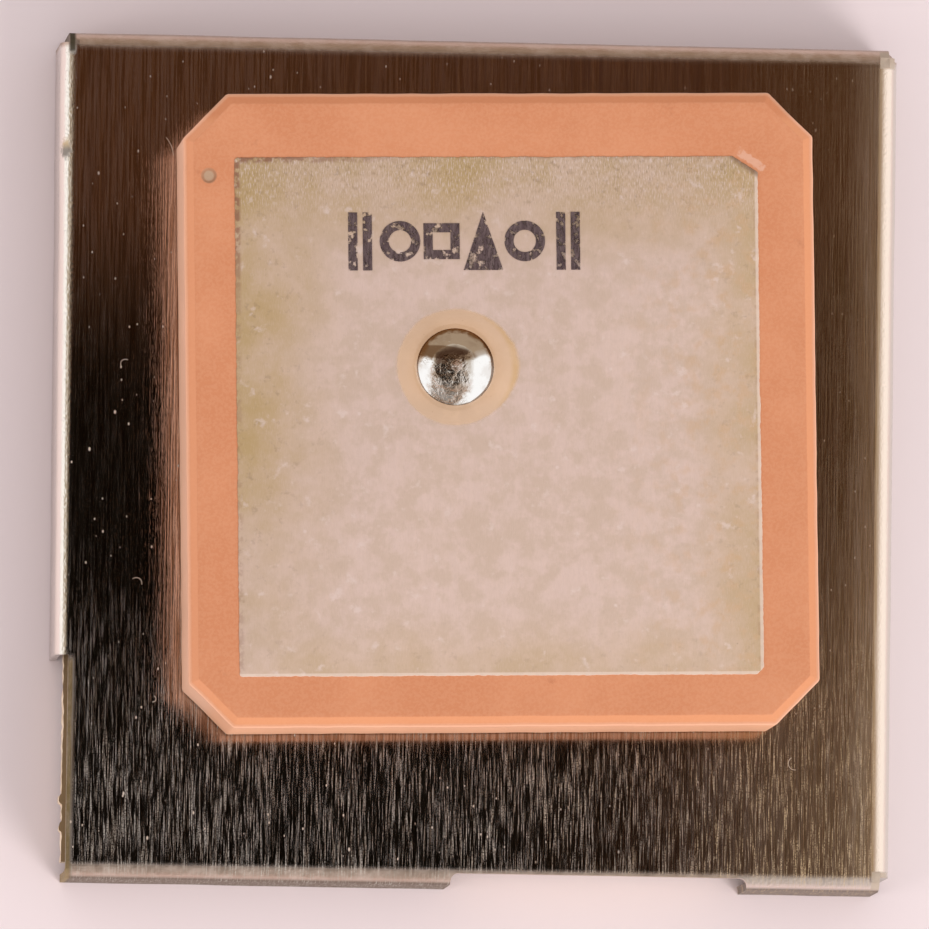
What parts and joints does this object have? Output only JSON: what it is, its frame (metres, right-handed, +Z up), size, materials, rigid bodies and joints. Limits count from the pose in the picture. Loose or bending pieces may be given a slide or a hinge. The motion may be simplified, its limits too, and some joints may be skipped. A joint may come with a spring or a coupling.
{
  "type": "gps module",
  "caption": "GPS receiver module: a ceramic patch antenna stuck on a folded tinplate can, with the circuit board and a side-entry plug socket inside it.",
  "frame": {"origin": "under the middle of the module, on the plane of the can's feet", "axes": "+Z up through the antenna, +X to the right and +Y to the back; the plug notch is at the front"},
  "size_m": [0.0336, 0.0338, 0.0092],
  "materials": {
    "tinplate": "bright tinplate with fine rolling grain",
    "adhesive": "off-white double-sided tape",
    "ceramic": "matte fired ceramic",
    "fired_silver": "matte fired silver, tarnished",
    "pin_metal": "tinned brass",
    "solder": "bright solder",
    "flux": "hardened amber flux",
    "ink": "dark stamped ink",
    "board": "green solder mask on glass fibre laminate",
    "black_package": "moulded chip package",
    "lead_metal": "tinned metal",
    "gold_plate": "thin gold plating",
    "white_ceramic": "white package ceramic",
    "lid_metal": "satin metal",
    "ferrite": "dark ferrite",
    "tantalum": "yellow moulded case",
    "capacitor": "tan ceramic",
    "resistor": "black glaze",
    "socket_plastic": "ivory moulded plastic"
  },
  "bodies": {
    "root": {"shield_can": "tinplate", "adhesive_pad": "adhesive", "ceramic_block": "ceramic", "ground_electrode": "fired_silver", "patch_electrode": "fired_silver", "feed_pin": "pin_metal", "solder_dome": "solder", "flux_ring": "flux", "ink_mark": "ink", "main_board": "board", "positioning_chip": "black_package", "radio_chip": "black_package", "flash_memory": "black_package", "radio_amplifier": "black_package", "voltage_regulator": "black_package", "chip_leads": "lead_metal", "band_filter": "gold_plate", "clock_base": "white_ceramic", "clock_lid": "lid_metal", "watch_crystal": "lid_metal", "backup_cell": "lid_metal", "cell_tabs": "lead_metal", "power_inductor": "ferrite", "tantalum_capacitors": "tantalum", "ceramic_capacitors": "capacitor", "chip_resistors": "resistor", "socket_housing": "socket_plastic", "socket_contacts": "gold_plate", "socket_anchors": "lead_metal", "feed_joint": "solder", "can_joints": "solder", "test_pads": "gold_plate"}
  },
  "joints": []
}
